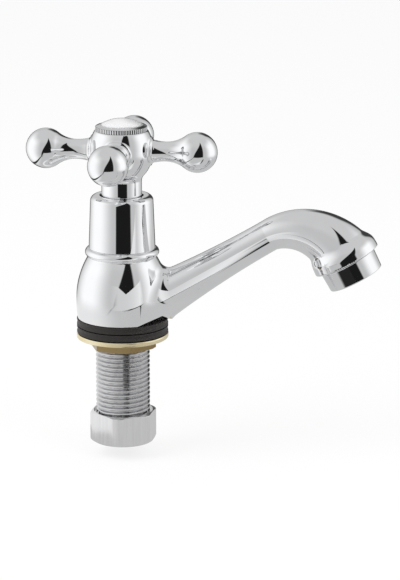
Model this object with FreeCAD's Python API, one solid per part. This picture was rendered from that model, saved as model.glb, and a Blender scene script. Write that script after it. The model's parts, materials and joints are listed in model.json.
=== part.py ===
import FreeCAD, Part
import math
import os

# Basin pillar tap with a cross handle. Millimetres, +Z up, spout towards +X.
# The origin is the centre of the deck seat, the flat underside of the body.

Vector = FreeCAD.Vector
UP = Vector(0, 0, 1)
ACROSS = Vector(0, 1, 0)
ORIGIN = Vector(0, 0, 0)

# ---- Clearances --------------------------------------------------------------
running_gap = 0.05      # radial gap of a shaft, thread or spigot in its hole
piece_gap = 0.3         # gap between faces of pieces that move apart
seat_gap = 0.1          # gap between the closed washer and its seat
loose_gap = 0.6         # gap round a piece that turns inside a cover
cut_margin = 2.0        # how far a cutting shape runs past the face it opens

# ---- Body --------------------------------------------------------------------
belly_r = 17.85         # widest radius of the pear-shaped body
belly_height = 7.5      # height of the widest place
base_draw = 0.5         # how much narrower the foot is
neck_r = 13.1           # outside radius under the bead
rim_height = 27.8       # top face of the body, where the shroud stands
bead_section_r = 1.65   # half-round bead round the rim
bead_proud = 1.2        # how far the bead stands out from the neck
tuck_angle = 61.1       # degrees from the spout where the foot leaves its circle
tuck_slope = 40.0       # degrees that the tucked flank rises outwards
fillet_r = 4.0          # casting radius between body and spout

# ---- Spout -------------------------------------------------------------------
spout_axis_height = -0.86   # where the axis of the straight run crosses the body's axis
outlet_reach = 86.85    # centre of the collar face from the body's axis
outlet_height = 25.75   # centre of the collar face above the deck seat
outlet_tilt = 28.0      # degrees that the outlet leans outwards from straight down
bend_r = 21.0           # radius of the bend's axis
bend_inset = 0.7        # how far the middle of the bend is drawn inwards
bend_tail = 0.643       # from the end of the bend to the collar face
root_distance = 6.0     # start of the spout along its run
root_r = 10.8           # section radius at the root
waist_r = 6.1           # section radius at the start of the bend
flare_power = 1.1       # how late the bend swells
run_sections = 6
bend_sections = 7
collar_r = 12.9         # outside radius of the collar face
collar_step = 0.7       # how far the collar stands out from the end of the bend
collar_draw = 1.6       # how much narrower the collar's upper edge is
collar_height = 5.4
collar_belly_height = 2.4

# ---- Waterway and valve seat -------------------------------------------------
water_r = 4.0           # radius of the spout's waterway
water_end_r = 7.5       # its radius at the outlet
water_rise = 4.0        # height of the waterway's axis above the seat
chamber_r = 8.4
seat_height = 9.0       # top of the raised valve seat
seat_stand = 1.5        # how far the seat stands above the chamber's floor
seat_rim_r = 6.5
seat_bore_r = 4.75
valve_lift = 3.8        # travel of the jumper

# ---- Tail: shank, seals and nuts ---------------------------------------------
thread_r = 10.4775      # half-inch pipe thread, 20.955 over the crests
thread_pitch = 1.814
thread_depth = 1.162
thread_flat = 0.11      # half width of the flat at the root of the thread
thread_relief = 0.23    # how far the thread's cutter stands outside its crests
thread_start = -2.2     # plain neck under the body above this height
shank_bore_r = 6.0
spigot_r = 8.0          # upper end, screwed into the body
spigot_height = 6.0
shank_seal_thickness = 1.2
shank_seal_wall = 2.15
deck_washer_rim = 0.35  # how far the rubber washers stand out from the foot
deck_washer_thickness = 2.65
deck_washer_gap = 0.52  # round the tail
washer_lip = 0.25       # how far the middle of a rubber washer is drawn in
backnut_flange_rim = 0.1    # how far the flange stands out from the rubber
backnut_flange_thickness = 1.9
backnut_flange_edge = 0.4
backnut_wall = 1.22     # from the thread to the flats
backnut_height = 3.9
backnut_turned_rim = 0.9    # how far the turned face at its foot passes the flats
backnut_chamfer = 0.5
backnut_turn = -8.0     # degrees that its hexagon is turned from the spout
coupling_top = -37.4
coupling_wall = 1.52    # from the thread to the flats
coupling_height = 12.1
coupling_turn = 26.0    # degrees that its hexagon is turned from the spout
coupling_corner_rim = 1.15  # how far its turned corners pass the flats
coupling_face_rim = 0.4     # how far its turned faces stay inside the flats
coupling_top_chamfer = 0.5
coupling_chamfer = 1.0  # the longer one, at the bottom
coupling_lip = 2.6      # thickness of the inward lip at the bottom
coupling_hole_r = 7.6
coupling_mouth_gap = 0.97   # round the tail, in the mouth of the nut
coupling_mouth_depth = 0.9
tail_washer_thickness = 2.0
tail_washer_hole_r = 5.5

# ---- Headgear ----------------------------------------------------------------
headgear_thread_r = 9.0
headgear_seal_thickness = 0.8
headgear_seal_wall = 1.75
headgear_corner_gap = 0.36  # between its hexagon and the shroud
headgear_turn = 10.0    # degrees that its hexagon is turned from the spout
headgear_hex_height = 5.4
headgear_collar_height = 3.6
headgear_neck_r = 7.0
headgear_neck_height = 5.6
shroud_ring_section_r = 1.1
shroud_ring_grip = 0.3  # how far the headgear's collar reaches past the middle of that ring
carrier_width = 12.0    # across the flats of the carrier that can't turn
carrier_flange_r = 7.0
carrier_flange_thickness = 1.6
carrier_web = 0.6       # under the spindle's socket, above the flange
jumper_washer_r = 7.0
jumper_washer_thickness = 2.5
jumper_stud_r = 1.9
jumper_nut_width = 6.0
jumper_nut_height = 2.1
jumper_stud_tip = 0.4   # stud left showing under the nut
spindle_thread_r = 4.0
spindle_flange_r = 5.9
spindle_flange_rise = 0.5   # its underside above the rim of the body
spindle_flange_thickness = 1.8
thrust_washer_thickness = 0.5
spindle_r = 4.5
spindle_square = 6.0
spindle_square_length = 16.4
o_ring_section_r = 0.78
o_ring_rise = 2.6       # first ring above the shoulder that the spindle turns under
o_ring_spacing = 4.5
o_ring_count = 2
clip_groove_depth = 0.7
clip_thickness = 0.8
clip_overhang = 1.7     # how far the clip stands out from the spindle
clip_opening = 5.0

# ---- Shroud ------------------------------------------------------------------
shroud_step = 0.25      # how far its foot stays inside the neck's radius
shroud_taper = 0.8
shroud_height = 20.6
shroud_wall = 1.25
shroud_top_thickness = 1.8
shroud_edge_r = 2.2

# ---- Cross handle ------------------------------------------------------------
handle_neck_r = 7.75
handle_neck_length = 10.1
hub_r = 12.3
hub_rise = 10.5         # from the neck to the axis of the arms
hub_crown_rise = 7.9    # from that axis to the top of the hub
hub_margin = 0.25       # rim of the hub's top left bare round the cap
arm_foot_r = 5.2        # where the arm grows out of the hub
arm_foot_sink = 0.7     # how deep in the hub its foot begins
arm_root_r = 4.25       # end of the foot's hollow curve
arm_root_run = 1.6
arm_waist_r = 3.78
arm_waist_run = 4.1     # from the root to the waist
ball_r = 7.75
ball_run = 12.0         # from the waist to the middle of the ball
arm_count = 4
web_thickness = 2.5     # between the spindle's socket and the screw's pocket
pocket_r = 7.45
screw_r = 1.95
screw_length = 11.6
screw_head_r = 3.5
screw_head_height = 2.6
screw_slot_length = 4.9
screw_slot_width = 1.0
screw_slot_depth = 1.2
screw_washer_r = 4.6
screw_washer_thickness = 0.8

# ---- Index cap ---------------------------------------------------------------
cap_r = 9.95            # over the reeded rim
reed_count = 62
reed_depth = 0.28
reed_height = 1.6
cap_bevel_height = 0.5
cap_skirt_length = 5.7
cap_skirt_wall = 1.1
disc_r = 7.6
disc_thickness = 1.2
disc_rise = 0.3         # how far the disc stands proud at its edge
disc_dome = 2.0

# ---- Aerator -----------------------------------------------------------------
aerator_length = 7.9
aerator_step = 0.4      # shadow line between collar and aerator
aerator_edge = 0.4      # its chamfers
aerator_spigot_r = 9.25
aerator_spigot_length = 4.2
aerator_shoulder = 1.9  # how far the ring stands out from its spigot
aerator_taper = 0.35
aerator_wall = 0.75
aerator_lip = 1.1       # inward lip that holds the insert
aerator_lip_height = 1.6
aerator_washer_thickness = 1.0
aerator_washer_wall = 1.7
insert_height = 7.0
insert_wall = 0.9
insert_deck = 1.2
insert_hole_r = 0.6
insert_hole_count = 12
insert_hole_circle_r = 5.4
screen_thickness = 0.4
screen_hole = 1.1
screen_pitch = 1.9
screen_rows = 6

# ---- Sizes that follow from the sizes above ----------------------------------
base_r = belly_r - base_draw
bead_r = neck_r + bead_proud
bead_centre_r = bead_r - bead_section_r
bead_centre_height = rim_height - bead_section_r
flare_r = collar_r - collar_step
chamber_floor = seat_height - seat_stand
water_height = seat_height + water_rise

shank_seal_r = spigot_r + running_gap + shank_seal_wall
deck_washer_r = base_r + deck_washer_rim
deck_washer_hole_r = thread_r + deck_washer_gap
lower_washer_top = -deck_washer_thickness - piece_gap
backnut_top = lower_washer_top - deck_washer_thickness
backnut_flange_r = deck_washer_r + backnut_flange_rim
backnut_width = 2 * (thread_r + backnut_wall)
coupling_width = 2 * (thread_r + coupling_wall)
coupling_bottom = coupling_top - coupling_height
coupling_lip_top = coupling_bottom + coupling_lip
tail_washer_bottom = coupling_lip_top + piece_gap
tail_washer_top = tail_washer_bottom + tail_washer_thickness
shank_end = tail_washer_top + piece_gap

jumper_washer_bottom = seat_height + seat_gap
jumper_washer_top = jumper_washer_bottom + jumper_washer_thickness
carrier_flange_top = jumper_washer_top + carrier_flange_thickness
carrier_socket_floor = carrier_flange_top + carrier_web
spindle_end = carrier_socket_floor + valve_lift + piece_gap
headgear_end = carrier_flange_top + valve_lift + loose_gap
hex_bottom = rim_height + headgear_seal_thickness
headgear_hex_top = hex_bottom + headgear_hex_height
headgear_collar_top = headgear_hex_top + headgear_collar_height
headgear_top = headgear_collar_top + headgear_neck_height
spindle_flange_bottom = rim_height + spindle_flange_rise
spindle_flange_top = spindle_flange_bottom + spindle_flange_thickness
headgear_shoulder = spindle_flange_top + thrust_washer_thickness + piece_gap
slot_top = spindle_flange_bottom - piece_gap
carrier_top = slot_top - valve_lift - seat_gap
clip_bottom = headgear_top + piece_gap
clip_top = clip_bottom + clip_thickness
spindle_shoulder = clip_top + piece_gap
spindle_top = spindle_shoulder + spindle_square_length

shroud_bottom_r = neck_r - shroud_step
shroud_top_r = shroud_bottom_r - shroud_taper
shroud_top = rim_height + shroud_height
shroud_ceiling = shroud_top - shroud_top_thickness
shroud_ring_height = headgear_hex_top + headgear_collar_height / 2

handle_bottom = spindle_shoulder + loose_gap
hub_start = handle_bottom + handle_neck_length
arm_height = hub_start + hub_rise
hub_top = arm_height + hub_crown_rise
hub_shoulder_r = cap_r + hub_margin
arm_foot_reach = hub_r - arm_foot_sink
arm_root_reach = arm_foot_reach + arm_root_run
arm_waist_reach = arm_root_reach + arm_waist_run
ball_reach = arm_waist_reach + ball_run
socket_top = spindle_top + piece_gap
web_top = socket_top + web_thickness
screw_washer_top = web_top + screw_washer_thickness
cap_top = hub_top + reed_height + cap_bevel_height
disc_edge_top = cap_top + disc_rise
disc_bottom = disc_edge_top - disc_thickness

outlet_washer_top = aerator_spigot_length + aerator_washer_thickness
aerator_top_r = aerator_spigot_r + aerator_shoulder
aerator_end_r = aerator_top_r - aerator_taper
aerator_bore_r = aerator_spigot_r - aerator_wall
screen_bottom = aerator_lip_height - aerator_length
screen_top = screen_bottom + screen_thickness


def hex_corner(width):
    return width / 2 / math.cos(math.pi / 6)


def cylinder(radius, bottom, top):
    return Part.makeCylinder(radius, top - bottom, Vector(0, 0, bottom), UP)


def tube(inner_r, outer_r, bottom, top):
    outer = cylinder(outer_r, bottom, top)
    return outer.cut(cylinder(inner_r, bottom - cut_margin, top + cut_margin))


def prism(sides, corner_r, bottom, top, turn=0.0):
    corners = []
    for index in range(sides + 1):
        angle = math.radians(turn) + 2 * math.pi * index / sides
        corners.append(Vector(corner_r * math.cos(angle), corner_r * math.sin(angle), bottom))
    face = Part.Face(Part.makePolygon(corners))
    return face.extrude(Vector(0, 0, top - bottom))


def hexagon(width, bottom, top, turn=0.0):
    return prism(6, hex_corner(width), bottom, top, turn)


def square(width, bottom, top):
    return prism(4, width / math.sqrt(2), bottom, top, 45.0)


def at(radius, height):
    return Vector(radius, 0, height)


def line(start, end):
    return Part.makeLine(at(*start), at(*end))


def arc(start, middle, end):
    return Part.Arc(at(*start), at(*middle), at(*end)).toShape()


def turned(edges):
    """Solid of revolution about the Z axis from edges of a closed half section."""
    return Part.Face(Part.Wire(edges)).revolve(ORIGIN, UP, 360)


def turned_outline(points):
    """Solid of revolution from a closed half section with straight sides."""
    edges = []
    for start, end in zip(points, points[1:] + points[:1]):
        edges.append(line(start, end))
    return turned(edges)


def ring(section_r, centre_r, height):
    return Part.makeTorus(centre_r, section_r, Vector(0, 0, height), UP)


def swell_point(widest_r, widest_height, end_r, end_height, share):
    """Point on the arc that is upright at its widest place and ends at the given place."""
    rise = end_height - widest_height
    draw = widest_r - end_r
    radius = (rise * rise + draw * draw) / (2 * draw)
    angle = share * math.asin(rise / radius)
    return (widest_r - radius * (1 - math.cos(angle)), widest_height + radius * math.sin(angle))


# ---- Line of the spout: a straight run that touches the bend, then the outlet --
fall_angle = math.radians(90.0 - outlet_tilt)
outlet_direction = Vector(math.cos(fall_angle), 0, -math.sin(fall_angle))
outlet_centre = Vector(outlet_reach, 0, outlet_height)
bend_end = outlet_centre - outlet_direction * bend_tail
bend_centre = bend_end - Vector(math.sin(fall_angle), 0, math.cos(fall_angle)) * bend_r
run_start = Vector(0, 0, spout_axis_height)
to_centre = bend_centre - run_start
run_length = math.sqrt(to_centre.Length ** 2 - bend_r ** 2)
rise_angle = math.atan2(to_centre.z, to_centre.x) + math.atan2(bend_r, run_length)
bend_angle = rise_angle + fall_angle
run_direction = Vector(math.cos(rise_angle), 0, math.sin(rise_angle))
bend_start = run_start + run_direction * run_length


def section(centre, slope, radius):
    """Circle square to the spout's line, which climbs at the given slope in radians."""
    wire = Part.Wire(Part.makeCircle(radius))
    wire.Placement = FreeCAD.Placement(centre, FreeCAD.Rotation(ACROSS, 90.0 - math.degrees(slope)))
    return wire


def bend_point(share):
    """Point and slope at a share of the bend, drawn inwards in the middle."""
    slope = rise_angle - bend_angle * share
    reach = bend_r - bend_inset * math.sin(math.pi * share)
    return bend_centre + Vector(-math.sin(slope), 0, math.cos(slope)) * reach, slope


def spout_shape():
    sections = []
    for index in range(run_sections):
        share = index / run_sections
        distance = root_distance + (run_length - root_distance) * share
        radius = waist_r + (root_r - waist_r) * (1 - share) ** 2
        sections.append(section(run_start + run_direction * distance, rise_angle, radius))
    for index in range(bend_sections):
        share = index / (bend_sections - 1)
        radius = waist_r + (flare_r - waist_r) * share ** flare_power
        centre, slope = bend_point(share)
        sections.append(section(centre, slope, radius))
    return Part.makeLoft(sections, True, False)


def waterway_shape():
    """Level hole out of the valve chamber, knee, climb along the run, and the bend."""
    knee = run_start + run_direction * ((water_height - spout_axis_height) / run_direction.z)
    level = Part.makeCylinder(water_r, knee.x, at(0, water_height), Vector(1, 0, 0))
    climb = Part.makeCylinder(water_r, (bend_start - knee).Length, knee, run_direction)
    sections = []
    for index in range(bend_sections):
        share = index / (bend_sections - 1)
        centre, slope = bend_point(share)
        sections.append(section(centre, slope, water_r + (water_end_r - water_r) * share))
    bend = Part.makeLoft(sections, True, False)
    return level.fuse([Part.makeSphere(water_r, knee), climb, bend])


def to_outlet(shape):
    """Move a piece drawn about Z, with the collar face at height 0, to the outlet."""
    shape.Placement = FreeCAD.Placement(outlet_centre, FreeCAD.Rotation(ACROSS, -outlet_tilt))
    return shape


# ---- Body --------------------------------------------------------------------
def pear():
    """Outside of the body; its seam lies at the back, away from the spout."""
    base_middle = swell_point(belly_r, belly_height, base_r, 0, 0.5)
    neck_height = bead_centre_height - bead_section_r
    neck_middle = swell_point(belly_r, belly_height, neck_r, neck_height, 0.5)
    edges = [
        line((0, 0), (base_r, 0)),
        arc((base_r, 0), base_middle, (belly_r, belly_height)),
        arc((belly_r, belly_height), neck_middle, (neck_r, neck_height)),
        line((neck_r, neck_height), (bead_centre_r, neck_height)),
        arc((bead_centre_r, neck_height), (bead_r, bead_centre_height), (bead_centre_r, rim_height)),
        line((bead_centre_r, rim_height), (0, rim_height)),
        line((0, rim_height), (0, 0)),
    ]
    shape = turned(edges)
    shape.rotate(ORIGIN, UP, 180)
    return shape


def collar():
    """Thick ring at the outlet, rounded over into the bend."""
    collar_top_r = collar_r - collar_draw
    shoulder = swell_point(collar_r, collar_belly_height, collar_top_r, collar_height, 0.5)
    edges = [
        line((0, 0), (collar_r, 0)),
        line((collar_r, 0), (collar_r, collar_belly_height)),
        arc((collar_r, collar_belly_height), shoulder, (collar_top_r, collar_height)),
        line((collar_top_r, collar_height), (0, collar_height)),
        line((0, collar_height), (0, 0)),
    ]
    return to_outlet(turned(edges))


def is_joint(edge):
    """True for an edge where two curved faces cross, which is neither a circle nor a line."""
    return not edge.Degenerated and edge.Curve.TypeId == "Part::GeomBSplineCurve"


def root_edges(shape):
    """Edges where the spout grows out of the pear, above the deck seat."""
    edges = []
    for edge in shape.Edges:
        box = edge.BoundBox
        beside_pear = box.XMin > 0 and box.XMax < belly_r + root_r
        if beside_pear and box.ZMax > piece_gap and is_joint(edge):
            edges.append(edge)
    return edges


def tuck(side):
    """Wedge that draws the base in from its circle to the underside of the spout."""
    angle = math.radians(tuck_angle)
    start = Vector(math.cos(angle), side * math.sin(angle), 0) * base_r
    end = Vector(deck_washer_r, 0, 0)
    along = (end - start).normalize()
    outward = Vector(abs(along.y), side * along.x, 0)
    far = outward * belly_r
    lift = UP * belly_r * math.tan(math.radians(tuck_slope))
    back = start - along * belly_r
    wedge = Part.Face(Part.makePolygon([back, back + far, back + far + lift, back]))
    return wedge.extrude(end - back)


def tap_body():
    """Cast body and spout, with the valve chamber, the seat and the waterway cut in it."""
    shape = pear().fuse(spout_shape()).Solids[0]
    shape = shape.makeFillet(fillet_r, root_edges(shape))
    shape = shape.fuse(collar())
    cuts = [
        cylinder(2 * belly_r, -2 * belly_r, 0),
        tuck(1),
        tuck(-1),
        cylinder(shank_seal_r + running_gap, -cut_margin, shank_seal_thickness),
        cylinder(spigot_r + running_gap, 0, spigot_height + piece_gap),
        cylinder(seat_bore_r, 0, seat_height + cut_margin),
        tube(seat_rim_r, chamber_r, chamber_floor, seat_height),
        cylinder(chamber_r, seat_height, headgear_end),
        cylinder(headgear_thread_r + running_gap, headgear_end - piece_gap, rim_height + cut_margin),
        waterway_shape(),
        to_outlet(cylinder(aerator_spigot_r + running_gap, -cut_margin, outlet_washer_top)),
    ]
    for cut in cuts:
        shape = shape.cut(cut)
    return shape


# ---- Tail --------------------------------------------------------------------
def thread_groove():
    """Helical cutter of a V thread, from below the tail's end to the plain neck."""
    length = thread_start - shank_end + thread_pitch
    helix = Part.makeLongHelix(thread_pitch, length, thread_r, 0)
    mouth = thread_pitch / 2 * (1 + thread_relief / thread_depth) - thread_flat
    profile = Part.makePolygon([
        at(thread_r - thread_depth, thread_flat),
        at(thread_r + thread_relief, mouth),
        at(thread_r + thread_relief, -mouth),
        at(thread_r - thread_depth, -thread_flat),
        at(thread_r - thread_depth, thread_flat),
    ])
    groove = Part.Wire(helix.Edges).makePipeShell([profile], True, True)
    groove.translate(Vector(0, 0, shank_end - thread_pitch))
    return groove


def threaded_shank():
    """Tail that carries the supply, screwed into the body."""
    shape = cylinder(thread_r, shank_end, 0).cut(thread_groove())
    shape = shape.fuse(cylinder(spigot_r, thread_start, spigot_height))
    return shape.cut(cylinder(shank_bore_r, shank_end - cut_margin, spigot_height + cut_margin))


def shank_seal():
    return tube(spigot_r + running_gap, shank_seal_r, 0, shank_seal_thickness)


def rubber_washer(bottom, top):
    """Deck washer whose rim is drawn in between two moulded lips."""
    middle = (bottom + top) / 2
    waist = deck_washer_r - washer_lip
    edges = [
        line((deck_washer_hole_r, bottom), (deck_washer_r, bottom)),
        arc((deck_washer_r, bottom), (waist, middle), (deck_washer_r, top)),
        line((deck_washer_r, top), (deck_washer_hole_r, top)),
        line((deck_washer_hole_r, top), (deck_washer_hole_r, bottom)),
    ]
    return turned(edges)


def upper_deck_washer():
    return rubber_washer(-deck_washer_thickness, 0)


def lower_deck_washer():
    return rubber_washer(backnut_top, lower_washer_top)


def flanged_backnut():
    """Thin nut with a flange as wide as the rubber washer above it."""
    top = backnut_top - piece_gap
    flange_bottom = top - backnut_flange_thickness
    bottom = flange_bottom - backnut_height
    edge = backnut_flange_edge
    flange = turned_outline([
        (0, top), (backnut_flange_r - edge, top), (backnut_flange_r, top - edge),
        (backnut_flange_r, flange_bottom + edge), (backnut_flange_r - edge, flange_bottom),
        (0, flange_bottom),
    ])
    nut = hexagon(backnut_width, bottom, flange_bottom, backnut_turn)
    corner = hex_corner(backnut_width)
    envelope = turned_outline([
        (0, flange_bottom), (corner, flange_bottom), (corner, bottom + backnut_chamfer),
        (backnut_width / 2 + backnut_turned_rim, bottom), (0, bottom),
    ])
    shape = flange.fuse(nut.common(envelope))
    return shape.cut(cylinder(thread_r + running_gap, bottom - cut_margin, top + cut_margin))


def coupling_nut():
    """Hexagon nut turned down at its corners, with an inward lip under its thread."""
    corner_r = coupling_width / 2 + coupling_corner_rim
    face_r = coupling_width / 2 - coupling_face_rim
    nut = hexagon(coupling_width, coupling_bottom, coupling_top, coupling_turn)
    envelope = turned_outline([
        (0, coupling_top), (face_r, coupling_top), (corner_r, coupling_top - coupling_top_chamfer),
        (corner_r, coupling_bottom + coupling_chamfer), (face_r, coupling_bottom), (0, coupling_bottom),
    ])
    nut = nut.common(envelope)
    mouth = coupling_top - coupling_mouth_depth
    mouth_r = thread_r + coupling_mouth_gap
    bore = turned_outline([
        (0, coupling_top + cut_margin), (mouth_r, coupling_top + cut_margin),
        (mouth_r, mouth), (thread_r + running_gap, mouth),
        (thread_r + running_gap, coupling_lip_top), (coupling_hole_r, coupling_lip_top),
        (coupling_hole_r, coupling_bottom - cut_margin), (0, coupling_bottom - cut_margin),
    ])
    return nut.cut(bore)


def tail_washer():
    """Rubber washer that lies on the nut's lip and seals the supply tail."""
    return tube(tail_washer_hole_r, thread_r - piece_gap, tail_washer_bottom, tail_washer_top)


# ---- Headgear ----------------------------------------------------------------
def shroud_inner_r(height):
    """Radius of the shroud's tapered inner wall."""
    share = (height - rim_height) / (shroud_ceiling - rim_height)
    return shroud_bottom_r - shroud_wall - shroud_taper * share


def shroud_ring_centre_r():
    """The ring round the headgear presses against the shroud's wall."""
    return shroud_inner_r(shroud_ring_height) - shroud_ring_section_r - running_gap


def headgear_body():
    """Brass valve housing: thread, hexagon, collar with a ring groove, and neck."""
    ring_r = shroud_ring_centre_r()
    collar_edge_r = ring_r + shroud_ring_grip
    shape = turned_outline([
        (0, headgear_end), (headgear_thread_r, headgear_end), (headgear_thread_r, hex_bottom),
        (headgear_neck_r, hex_bottom), (headgear_neck_r, headgear_hex_top),
        (collar_edge_r, headgear_hex_top), (collar_edge_r, headgear_collar_top),
        (headgear_neck_r, headgear_collar_top), (headgear_neck_r, headgear_top), (0, headgear_top),
    ])
    hex_corner_r = shroud_inner_r(headgear_hex_top) - headgear_corner_gap
    shape = shape.fuse(prism(6, hex_corner_r, hex_bottom, headgear_hex_top, headgear_turn))
    slot_width = carrier_width + 2 * running_gap
    cuts = [
        ring(shroud_ring_section_r + running_gap, ring_r, shroud_ring_height),
        hexagon(slot_width, headgear_end - cut_margin, slot_top),
        cylinder(spindle_flange_r + running_gap, headgear_end, headgear_shoulder),
        cylinder(spindle_r + running_gap, headgear_end, headgear_top + cut_margin),
    ]
    for cut in cuts:
        shape = shape.cut(cut)
    return shape


def headgear_seal():
    inner_r = headgear_thread_r + running_gap
    return tube(inner_r, inner_r + headgear_seal_wall, rim_height, hex_bottom)


def shroud_o_ring():
    return ring(shroud_ring_section_r, shroud_ring_centre_r(), shroud_ring_height)


def shroud():
    """Tapered cover that hides the headgear, open at its foot, with a round top edge."""
    edge = shroud_edge_r * math.sqrt(0.5)
    centre = (shroud_top_r - shroud_edge_r, shroud_top - shroud_edge_r)
    hole_r = handle_neck_r + loose_gap
    ceiling = shroud_ceiling
    edges = [
        line((shroud_bottom_r, rim_height), (shroud_top_r, centre[1])),
        arc((shroud_top_r, centre[1]), (centre[0] + edge, centre[1] + edge), (centre[0], shroud_top)),
        line((centre[0], shroud_top), (hole_r, shroud_top)),
        line((hole_r, shroud_top), (hole_r, ceiling)),
        line((hole_r, ceiling), (shroud_top_r - shroud_wall, ceiling)),
        line((shroud_top_r - shroud_wall, ceiling), (shroud_bottom_r - shroud_wall, rim_height)),
        line((shroud_bottom_r - shroud_wall, rim_height), (shroud_bottom_r, rim_height)),
    ]
    return turned(edges)


def spindle():
    """Spindle: thread below, thrust flange, two ring grooves, clip groove and square."""
    shape = turned_outline([
        (0, spindle_end), (spindle_thread_r, spindle_end), (spindle_thread_r, spindle_flange_bottom),
        (spindle_flange_r, spindle_flange_bottom), (spindle_flange_r, spindle_flange_top),
        (spindle_r, spindle_flange_top), (spindle_r, spindle_shoulder), (0, spindle_shoulder),
    ])
    shape = shape.fuse(square(spindle_square, spindle_shoulder, spindle_top))
    for height in o_ring_heights():
        shape = shape.cut(ring(o_ring_section_r + running_gap, o_ring_centre_r(), height))
    shape = shape.cut(tube(spindle_r - clip_groove_depth, 2 * spindle_r, clip_bottom, clip_top))
    screw_hole_bottom = screw_washer_top - screw_length - piece_gap
    return shape.cut(cylinder(screw_r + running_gap, screw_hole_bottom, spindle_top + cut_margin))


def o_ring_centre_r():
    return spindle_r - o_ring_section_r + running_gap / 2


def o_ring_heights():
    return [headgear_shoulder + o_ring_rise + o_ring_spacing * index for index in range(o_ring_count)]


def spindle_o_rings():
    rings = [ring(o_ring_section_r, o_ring_centre_r(), height) for height in o_ring_heights()]
    return Part.makeCompound(rings)


def spindle_thrust_washer():
    top = spindle_flange_top + thrust_washer_thickness
    return tube(spindle_r + running_gap, spindle_flange_r, spindle_flange_top, top)


def spindle_clip():
    clip_r = spindle_r + clip_overhang
    shape = tube(spindle_r - clip_groove_depth + running_gap, clip_r, clip_bottom, clip_top)
    opening = Part.makeBox(clip_r + cut_margin, clip_opening, clip_thickness)
    opening.translate(Vector(0, -clip_opening / 2, clip_bottom))
    return shape.cut(opening)


def jumper_carrier():
    """Hexagonal carrier that the spindle's thread draws up and down."""
    stud_bottom = jumper_washer_bottom - jumper_nut_height - jumper_stud_tip
    shape = hexagon(carrier_width, carrier_flange_top, carrier_top)
    shape = shape.fuse(cylinder(carrier_flange_r, jumper_washer_top, carrier_flange_top))
    shape = shape.fuse(cylinder(jumper_stud_r, stud_bottom, jumper_washer_top))
    bore_r = spindle_thread_r + running_gap
    return shape.cut(cylinder(bore_r, carrier_socket_floor, carrier_top + cut_margin))


def jumper_washer():
    return tube(jumper_stud_r + running_gap, jumper_washer_r, jumper_washer_bottom, jumper_washer_top)


def jumper_nut():
    bottom = jumper_washer_bottom - jumper_nut_height
    nut = hexagon(jumper_nut_width, bottom, jumper_washer_bottom)
    return nut.cut(cylinder(jumper_stud_r + running_gap, bottom - cut_margin, jumper_washer_top))


# ---- Cross handle ------------------------------------------------------------
def hub():
    """Turned hub; its seam lies between two arms."""
    lower_middle = swell_point(hub_r, arm_height, handle_neck_r, hub_start, 0.5)
    upper_middle = swell_point(hub_r, arm_height, hub_shoulder_r, hub_top, 0.5)
    edges = [
        line((0, handle_bottom), (handle_neck_r, handle_bottom)),
        line((handle_neck_r, handle_bottom), (handle_neck_r, hub_start)),
        arc((handle_neck_r, hub_start), lower_middle, (hub_r, arm_height)),
        arc((hub_r, arm_height), upper_middle, (hub_shoulder_r, hub_top)),
        line((hub_shoulder_r, hub_top), (0, hub_top)),
        line((0, hub_top), (0, handle_bottom)),
    ]
    shape = turned(edges)
    shape.rotate(ORIGIN, UP, 180.0 / arm_count)
    return shape


def arm(turn):
    """Waisted arm that swells into its ball; the waist's arc touches the ball."""
    spread = ball_reach - arm_waist_reach
    waist_arc_r = (spread ** 2 + arm_waist_r ** 2 - ball_r ** 2) / (2 * (ball_r - arm_waist_r))
    centre_r = arm_waist_r + waist_arc_r
    share = ball_r / (ball_r + waist_arc_r)
    touch = (ball_reach - spread * share, centre_r * share)
    half_turn = math.atan2(touch[0] - arm_waist_reach, centre_r - touch[1]) / 2
    middle_reach = arm_waist_reach + waist_arc_r * math.sin(half_turn)
    middle = (middle_reach, centre_r - waist_arc_r * math.cos(half_turn))
    edges = [
        line((0, 0), (0, arm_foot_r)),
        line((0, arm_foot_r), (arm_foot_reach, arm_foot_r)),
        hollow((arm_foot_reach, arm_foot_r), (arm_root_reach, arm_root_r)),
        hollow((arm_root_reach, arm_root_r), (arm_waist_reach, arm_waist_r)),
        arc((arm_waist_reach, arm_waist_r), middle, touch),
        arc(touch, (ball_reach, ball_r), (ball_reach + ball_r, 0)),
        line((ball_reach + ball_r, 0), (0, 0)),
    ]
    shape = Part.Face(Part.Wire(edges)).revolve(ORIGIN, Vector(1, 0, 0), 360)
    shape.translate(Vector(0, 0, arm_height))
    shape.rotate(ORIGIN, UP, turn)
    return shape


def hollow(start, end):
    """Arc that thins towards its end and is level there."""
    run, rise = swell_on_side(start[0] - end[0], start[1] - end[1])
    return arc(start, (end[0] + run, end[1] + rise), end)


def swell_on_side(run, rise):
    """Half way along an arc that starts level and gains the given rise over the given run."""
    radius = (run * run + rise * rise) / (2 * rise)
    angle = math.asin(run / radius) / 2
    return radius * math.sin(angle), radius * (1 - math.cos(angle))


def cross_handle():
    """Hub with four arms, the spindle's square socket below and the screw pocket above."""
    shape = hub()
    for index in range(arm_count):
        shape = shape.fuse(arm(360.0 * index / arm_count))
    cuts = [
        square(spindle_square + 2 * running_gap, handle_bottom - cut_margin, socket_top),
        cylinder(screw_r + piece_gap, socket_top - cut_margin, web_top + cut_margin),
        cylinder(pocket_r, web_top, hub_top + cut_margin),
    ]
    for cut in cuts:
        shape = shape.cut(cut)
    return shape


def handle_screw():
    """Cross-slotted screw that draws the handle down on the spindle."""
    tip = screw_washer_top - screw_length
    head_top = screw_washer_top + screw_head_height
    shape = cylinder(screw_r, tip, screw_washer_top).fuse(cylinder(screw_head_r, screw_washer_top, head_top))
    for turn in (0, 90):
        slot = Part.makeBox(screw_slot_length, screw_slot_width, screw_slot_depth + cut_margin)
        slot.translate(Vector(-screw_slot_length / 2, -screw_slot_width / 2, head_top - screw_slot_depth))
        slot.rotate(ORIGIN, UP, turn)
        shape = shape.cut(slot)
    return shape


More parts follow.
